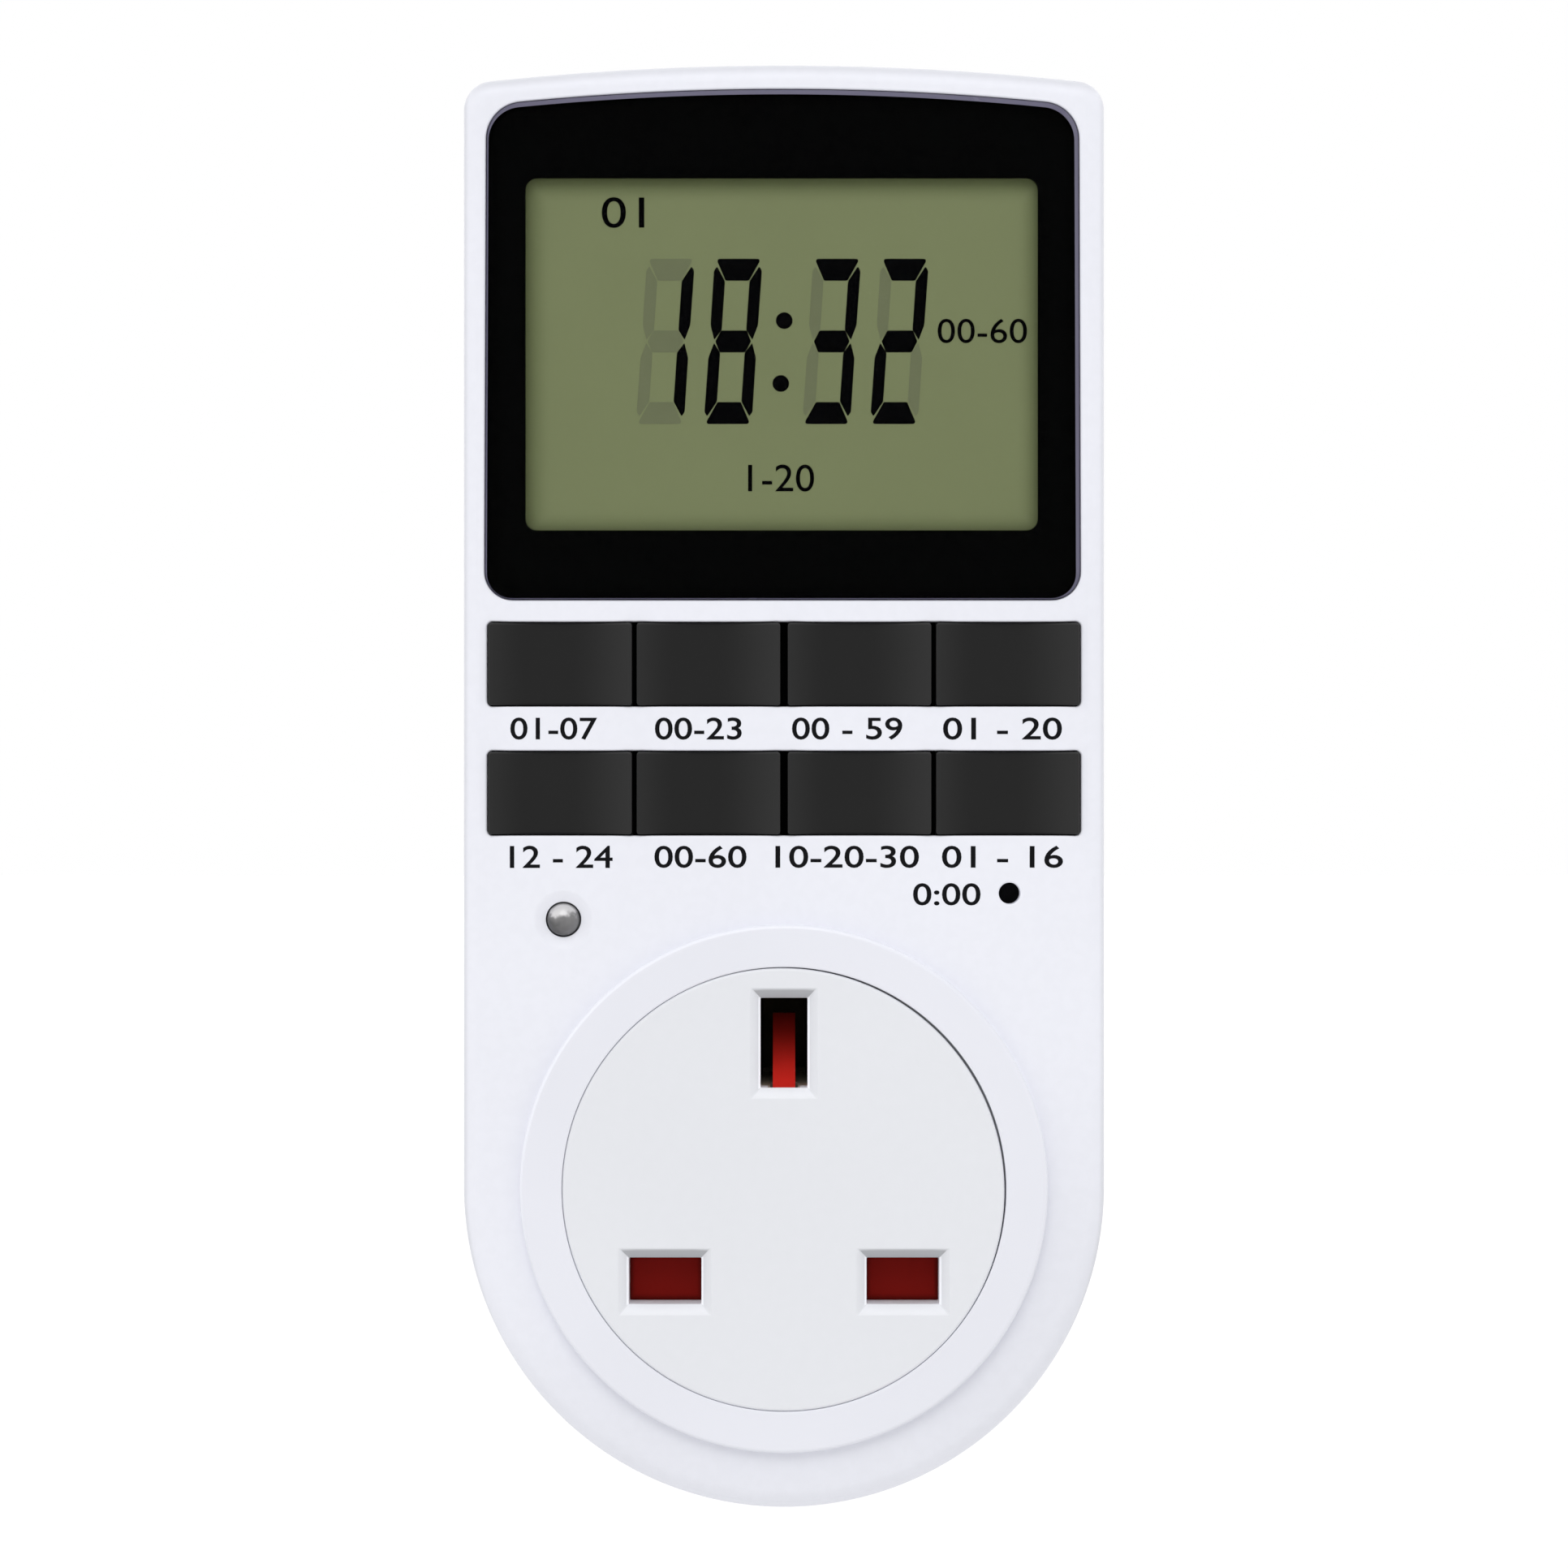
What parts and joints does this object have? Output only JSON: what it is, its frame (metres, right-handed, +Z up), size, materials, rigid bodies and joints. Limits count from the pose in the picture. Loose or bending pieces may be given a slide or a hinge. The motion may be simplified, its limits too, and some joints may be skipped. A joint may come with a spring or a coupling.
{
  "type": "plug in timer switch",
  "caption": "Tall white plug-in timer switch with arched top and round lower end: display window, two rows of keys, status lamp, reset hole and a shuttered three-pin outlet; plug pins behind.",
  "frame": {"origin": "centre of the plug face that meets the wall outlet, on the axis shared by the socket disc and the plug", "axes": "+X to the right as seen from the front, +Y into the wall along the plug pins, +Z up"},
  "size_m": [0.06, 0.0649, 0.1351],
  "materials": {
    "case_white": "satin",
    "disc_white": "satin",
    "window_clear": "polished",
    "mask_black": "gloss",
    "lcd_olive": "satin",
    "frame_white": "matte",
    "zebra_grey": "matte",
    "board_green": "satin",
    "chip_black": "satin",
    "key_charcoal": "satin",
    "mat_rubber": "matte",
    "lamp_clear": "polished",
    "steel": "plated",
    "carrier_ivory": "matte",
    "shutter_red": "satin",
    "brass": "satin",
    "sleeve_black": "satin",
    "wire_brown": "satin",
    "wire_blue": "satin",
    "relay_blue": "satin",
    "capacitor_yellow": "satin",
    "capacitor_black": "satin",
    "varistor_blue": "gloss",
    "resistor_green": "satin",
    "battery_green": "satin",
    "connector_white": "matte",
    "ribbon_grey": "matte"
  },
  "bodies": {
    "case": {"backup_battery": "battery_green", "block_screws": "steel", "board_connectors": "connector_white", "board_screws": "steel", "case_screws": "steel", "clock_crystal": "steel", "contact_carrier": "carrier_ivory", "contact_cover": "carrier_ivory", "control_board": "board_green", "controller_chip": "chip_black", "display_window": "window_clear", "earth_contact": "brass", "earth_pin": "brass", "earth_strap": "brass", "film_capacitor": "capacitor_yellow", "front_case": "case_white", "fuse_resistor": "resistor_green", "keypad_mat": "mat_rubber", "lamp_leads": "steel", "lcd_frame": "frame_white", "lcd_panel": "lcd_olive", "live_contact": "brass", "live_pin": "brass", "live_wire_in": "wire_brown", "live_wire_out": "wire_brown", "neutral_contact": "brass", "neutral_pin": "brass", "neutral_strap": "brass", "neutral_wire": "wire_blue", "pin_retainer": "carrier_ivory", "pin_sleeves": "sleeve_black", "power_board": "board_green", "rear_case": "case_white", "rectifier_diodes": "chip_black", "relay": "relay_blue", "relay_driver": "chip_black", "reset_switch": "chip_black", "ribbon_cable": "ribbon_grey", "shutter_spring": "steel", "smoothing_capacitor": "capacitor_black", "socket_disc": "disc_white", "status_lamp": "lamp_clear", "varistor": "varistor_blue", "window_mask": "mask_black", "zebra_strips": "zebra_grey"},
    "key_week": {"key_week": "key_charcoal"},
    "key_hour": {"key_hour": "key_charcoal"},
    "key_minute": {"key_minute": "key_charcoal"},
    "key_recall": {"key_recall": "key_charcoal"},
    "key_clock": {"key_clock": "key_charcoal"},
    "key_timer": {"key_timer": "key_charcoal"},
    "key_mode": {"key_mode": "key_charcoal"},
    "key_random": {"key_random": "key_charcoal"},
    "reset_button": {"reset_button": "chip_black"},
    "shutter": {"shutter": "shutter_red"}
  },
  "joints": [
    {"name": "key_week_press", "type": "slide", "parent": "case", "child": "key_week", "axis": [0, 1, 0], "range_m": [0, 0.0009], "stiffness_N_per_m": 500, "springref_m": -0.0016, "deforming": ["keypad_mat"]},
    {"name": "key_hour_press", "type": "slide", "parent": "case", "child": "key_hour", "axis": [0, 1, 0], "range_m": [0, 0.0009], "stiffness_N_per_m": 500, "springref_m": -0.0016, "deforming": ["keypad_mat"]},
    {"name": "key_minute_press", "type": "slide", "parent": "case", "child": "key_minute", "axis": [0, 1, 0], "range_m": [0, 0.0009], "stiffness_N_per_m": 500, "springref_m": -0.0016, "deforming": ["keypad_mat"]},
    {"name": "key_recall_press", "type": "slide", "parent": "case", "child": "key_recall", "axis": [0, 1, 0], "range_m": [0, 0.0009], "stiffness_N_per_m": 500, "springref_m": -0.0016, "deforming": ["keypad_mat"]},
    {"name": "key_clock_press", "type": "slide", "parent": "case", "child": "key_clock", "axis": [0, 1, 0], "range_m": [0, 0.0009], "stiffness_N_per_m": 500, "springref_m": -0.0016, "deforming": ["keypad_mat"]},
    {"name": "key_timer_press", "type": "slide", "parent": "case", "child": "key_timer", "axis": [0, 1, 0], "range_m": [0, 0.0009], "stiffness_N_per_m": 500, "springref_m": -0.0016, "deforming": ["keypad_mat"]},
    {"name": "key_mode_press", "type": "slide", "parent": "case", "child": "key_mode", "axis": [0, 1, 0], "range_m": [0, 0.0009], "stiffness_N_per_m": 500, "springref_m": -0.0016, "deforming": ["keypad_mat"]},
    {"name": "key_random_press", "type": "slide", "parent": "case", "child": "key_random", "axis": [0, 1, 0], "range_m": [0, 0.0009], "stiffness_N_per_m": 500, "springref_m": -0.0016, "deforming": ["keypad_mat"]},
    {"name": "reset_press", "type": "slide", "parent": "case", "child": "reset_button", "axis": [0, 1, 0], "range_m": [0, 0.00025], "stiffness_N_per_m": 1500, "springref_m": -0.0006},
    {"name": "shutter_slide", "type": "slide", "parent": "case", "child": "shutter", "axis": [0, 0, -1], "range_m": [0, 0.0065], "stiffness_N_per_m": 120, "springref_m": -0.004, "deforming": ["shutter_spring"]}
  ]
}
